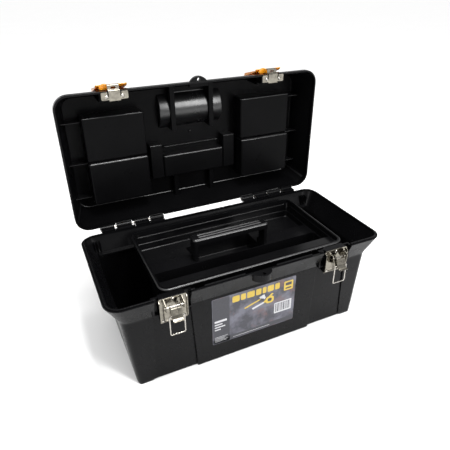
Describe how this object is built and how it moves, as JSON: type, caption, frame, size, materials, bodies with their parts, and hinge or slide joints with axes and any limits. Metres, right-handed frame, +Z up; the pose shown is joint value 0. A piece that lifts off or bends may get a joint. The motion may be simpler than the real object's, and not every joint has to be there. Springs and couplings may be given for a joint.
{
  "type": "carpenter toolbox",
  "caption": "Flared moulded toolbox with a hinged lid, lid-top organisers, folding carry handle, lift-out tray and metal draw latches.",
  "frame": {"origin": "centre of the footprint, on the surface the box stands on", "axes": "+X along the box to the right, front faces -Y, +Z up"},
  "size_m": [0.489, 0.4083, 0.4234],
  "materials": {
    "shell_plastic": "satin black moulded polypropylene with a fine grain",
    "tray_plastic": "satin black moulded polypropylene, slightly smoother than the shell",
    "handle_plastic": "satin black, rounded grip",
    "amber_cover": "translucent amber polypropylene",
    "label_film": "printed film label",
    "plated_steel": "bright nickel plate on pressed sheet and wire",
    "bright_steel": "bright drawn wire and rivets"
  },
  "bodies": {
    "box": {"box_body": "shell_plastic", "hinge_pin_left": "bright_steel", "hinge_pin_right": "bright_steel", "latch_plate_left": "plated_steel", "latch_plate_right": "plated_steel", "lever_pin_left": "bright_steel", "lever_pin_right": "bright_steel", "latch_rivets_left": "bright_steel", "latch_rivets_right": "bright_steel", "front_label": "label_film"},
    "lid": {"lid_shell": "shell_plastic", "lid_catch_left": "plated_steel", "lid_catch_right": "plated_steel", "catch_rivets_left": "bright_steel", "catch_rivets_right": "bright_steel", "cover_pin_left": "bright_steel", "cover_pin_right": "bright_steel", "handle_pin_left": "bright_steel", "handle_pin_right": "bright_steel"},
    "lever_left": {"latch_lever_left": "plated_steel"},
    "lever_right": {"latch_lever_right": "plated_steel"},
    "bail_left": {"latch_bail_left": "plated_steel"},
    "bail_right": {"latch_bail_right": "plated_steel"},
    "cover_left": {"organizer_cover_left": "amber_cover"},
    "cover_right": {"organizer_cover_right": "amber_cover"},
    "handle": {"carry_handle": "handle_plastic"},
    "tray": {"tote_tray": "tray_plastic"}
  },
  "joints": [
    {"name": "lid_hinge", "type": "hinge", "parent": "box", "child": "lid", "pos_m": [0, 0.1277, 0.1715], "axis": [1, 0, 0], "range_deg": [0, 90]},
    {"name": "lever_left_pivot", "type": "hinge", "parent": "box", "child": "lever_left", "pos_m": [-0.1465, -0.117, 0.158], "axis": [1, 0, 0], "range_deg": [-100, 20]},
    {"name": "bail_left_pivot", "type": "hinge", "parent": "lever_left", "child": "bail_left", "pos_m": [-0.1465, -0.1232, 0.14536], "axis": [-1, 0, 0], "range_deg": [-25, 195.4]},
    {"name": "cover_left_hinge", "type": "hinge", "parent": "lid", "child": "cover_left", "pos_m": [-0.1485, 0.1936, 0.2065], "axis": [-1, 0, 0], "range_deg": [0, 100]},
    {"name": "lever_right_pivot", "type": "hinge", "parent": "box", "child": "lever_right", "pos_m": [0.1465, -0.117, 0.158], "axis": [1, 0, 0], "range_deg": [-100, 20]},
    {"name": "bail_right_pivot", "type": "hinge", "parent": "lever_right", "child": "bail_right", "pos_m": [0.1465, -0.1232, 0.14536], "axis": [-1, 0, 0], "range_deg": [-25, 195.4]},
    {"name": "cover_right_hinge", "type": "hinge", "parent": "lid", "child": "cover_right", "pos_m": [0.1485, 0.1936, 0.2065], "axis": [-1, 0, 0], "range_deg": [0, 100]},
    {"name": "handle_pivot", "type": "hinge", "parent": "lid", "child": "handle", "pos_m": [0, 0.1967, 0.2895], "axis": [1, 0, 0], "range_deg": [0, 90]},
    {"name": "tray_lift", "type": "slide", "parent": "box", "child": "tray", "axis": [0, 0, -1], "range_m": [-0.16, 0]}
  ]
}
